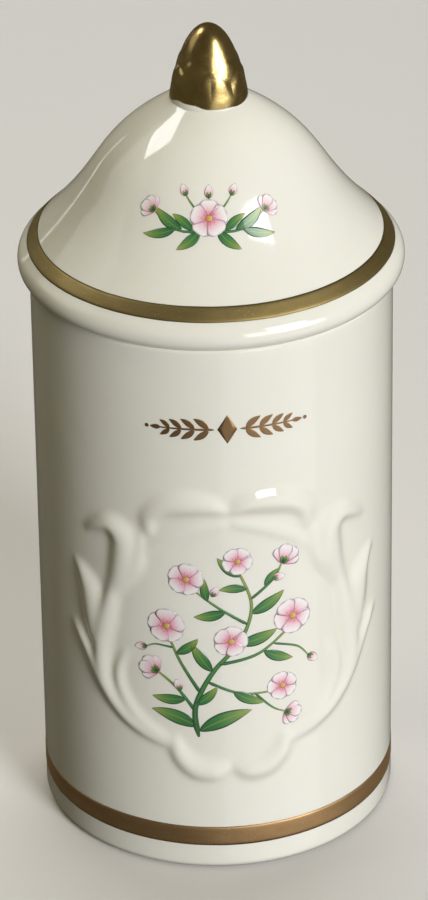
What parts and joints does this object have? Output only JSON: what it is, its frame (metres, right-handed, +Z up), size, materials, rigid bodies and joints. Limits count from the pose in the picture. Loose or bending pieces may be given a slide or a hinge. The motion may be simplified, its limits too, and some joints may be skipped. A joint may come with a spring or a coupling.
{
  "type": "spice jar",
  "caption": "Straight porcelain spice jar with a moulded scroll frame on its front, gilded lines and a domed lift-off lid with a soft seal and a bud finial.",
  "frame": {"origin": "centre of the foot ring, on the surface that the jar stands on", "axes": "+Z up through the lid's bud, -Y out of the front with the scroll frame, +X to the right as seen from the front"},
  "size_m": [0.0564, 0.0564, 0.1267],
  "materials": {
    "porcelain": "glossy ivory glaze",
    "gilding": "burnished gold line",
    "bud_gold": "polished gold",
    "silicone": "translucent matt"
  },
  "bodies": {
    "jar": {"jar_body": "porcelain", "base_gilding": "gilding"},
    "seal": {"seal_ring": "silicone"},
    "lid": {"lid": "porcelain", "lid_gilding": "gilding", "finial": "bud_gold"}
  },
  "joints": [
    {"name": "lid_lift", "type": "slide", "parent": "jar", "child": "seal", "axis": [0, 0, 1], "range_m": [0, 0.06]},
    {"name": "lid_turn", "type": "hinge", "parent": "seal", "child": "lid", "pos_m": [0, 0, 0.0882], "axis": [0, 0, 1], "continuous": true}
  ]
}
